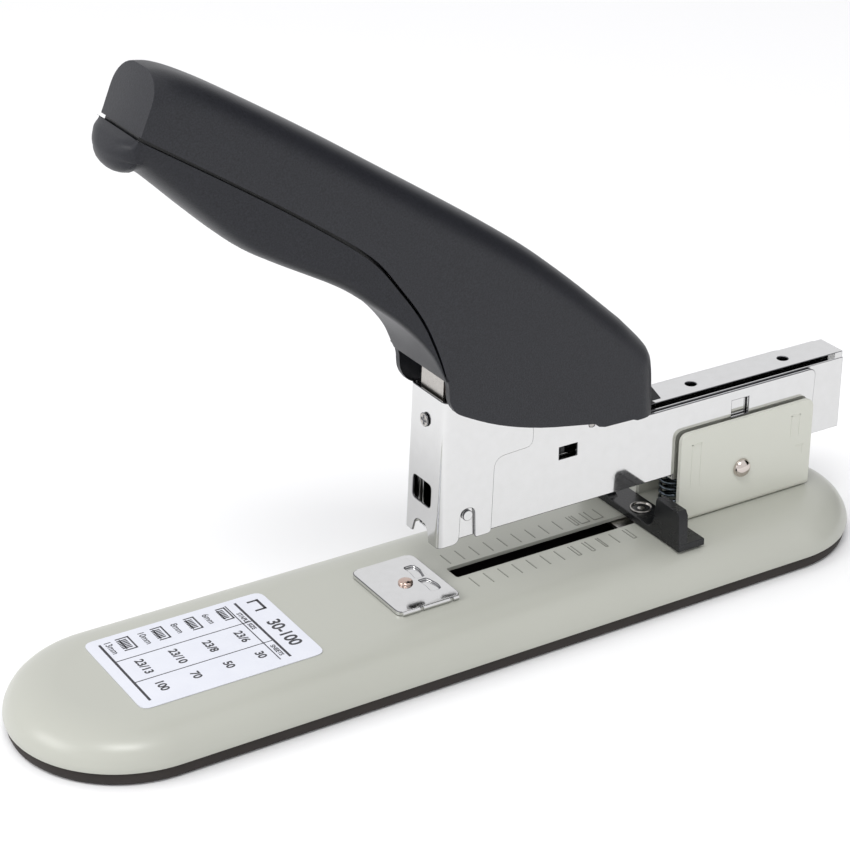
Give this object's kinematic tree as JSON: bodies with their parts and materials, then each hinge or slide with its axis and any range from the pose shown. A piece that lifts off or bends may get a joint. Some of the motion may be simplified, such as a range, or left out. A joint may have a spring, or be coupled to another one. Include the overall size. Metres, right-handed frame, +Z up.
{
  "type": "stapler",
  "caption": "Heavy-duty desk stapler with a hinged sheet-metal arm, sliding staple magazine, large plastic lever handle and sliding paper guide on a rounded oblong base.",
  "frame": {"origin": "centre of the base's underside, on the table", "axes": "+X from the stapling head towards the hinge, +Y across the base to the far side, +Z up"},
  "size_m": [0.279, 0.068, 0.1826],
  "materials": {
    "putty_paint": "semi-gloss putty grey enamel on pressed sheet steel",
    "base_rubber": "matt dark brown-black moulded rubber",
    "label_film": "pale bluish-white printed film",
    "bright_nickel": "bright polished nickel plate",
    "plain_steel": "zinc-plated steel, satin",
    "spring_steel": "dark oil-blackened spring wire",
    "black_plastic": "satin black moulded plastic",
    "charcoal_plastic": "charcoal moulded plastic with a fine spark-eroded texture"
  },
  "bodies": {
    "base": {"base_shell": "putty_paint", "base_pad": "base_rubber", "capacity_label": "label_film", "anvil_plate": "bright_nickel", "anvil_rivet": "bright_nickel", "rear_bracket": "putty_paint", "bracket_rivet_1": "plain_steel", "bracket_rivet_2": "plain_steel", "bracket_rivet_3": "plain_steel", "bracket_rivet_4": "plain_steel", "hinge_rivet": "bright_nickel", "hinge_washer_near": "plain_steel", "hinge_washer_far": "plain_steel", "lift_spring": "spring_steel"},
    "guide": {"paper_guide": "black_plastic", "guide_eyelet": "bright_nickel", "guide_slider": "plain_steel"},
    "arm": {"arm_frame": "bright_nickel", "front_casing": "bright_nickel", "casing_screw": "plain_steel", "casing_stud_near": "bright_nickel", "casing_stud_far": "bright_nickel", "handle_pivot_pin": "plain_steel", "spring_bar": "plain_steel"},
    "magazine": {"magazine_channel": "bright_nickel", "staple_rail": "bright_nickel", "magazine_cover": "bright_nickel", "staple_strip": "bright_nickel", "pusher_rod": "plain_steel", "rod_block": "black_plastic", "pusher_spring": "spring_steel"},
    "pusher": {"staple_pusher": "black_plastic"},
    "driver": {"driver_blade": "plain_steel", "driver_head": "plain_steel"},
    "handle": {"handle_upper": "charcoal_plastic", "handle_lower": "charcoal_plastic", "handle_screw_1": "plain_steel", "handle_screw_2": "plain_steel", "handle_lever": "bright_nickel", "drive_pin": "plain_steel", "rear_spacer": "black_plastic", "return_spring": "spring_steel"}
  },
  "joints": [
    {"name": "arm_hinge", "type": "hinge", "parent": "base", "child": "arm", "pos_m": [0.0966, 0, 0.0278], "axis": [0, -1, 0], "range_deg": [0, 7], "stiffness_Nm_per_rad": 20, "springref_deg": -2.86, "deforming": ["lift_spring"]},
    {"name": "handle_hinge", "type": "hinge", "parent": "arm", "child": "handle", "pos_m": [0.05, 0, 0.063], "axis": [0, -1, 0], "range_deg": [0, 20], "stiffness_Nm_per_rad": 2, "springref_deg": -8.59},
    {"name": "driver_slide", "type": "slide", "parent": "arm", "child": "driver", "axis": [-0.0489, 0, -0.9988], "range_m": [0, 0.0186]},
    {"name": "magazine_slide", "type": "slide", "parent": "arm", "child": "magazine", "axis": [1, 0, 0], "range_m": [0, 0.075]},
    {"name": "pusher_slide", "type": "slide", "parent": "magazine", "child": "pusher", "axis": [1, 0, 0], "range_m": [0, 0.025], "stiffness_N_per_m": 60, "springref_m": -0.05, "deforming": ["pusher_spring"]},
    {"name": "guide_slide", "type": "slide", "parent": "base", "child": "guide", "axis": [1, 0, 0], "range_m": [-0.05, 0]}
  ],
  "couplings": [
    {"joint": "driver_slide", "follows": "handle_hinge", "m_per_rad": 0.0528}
  ]
}
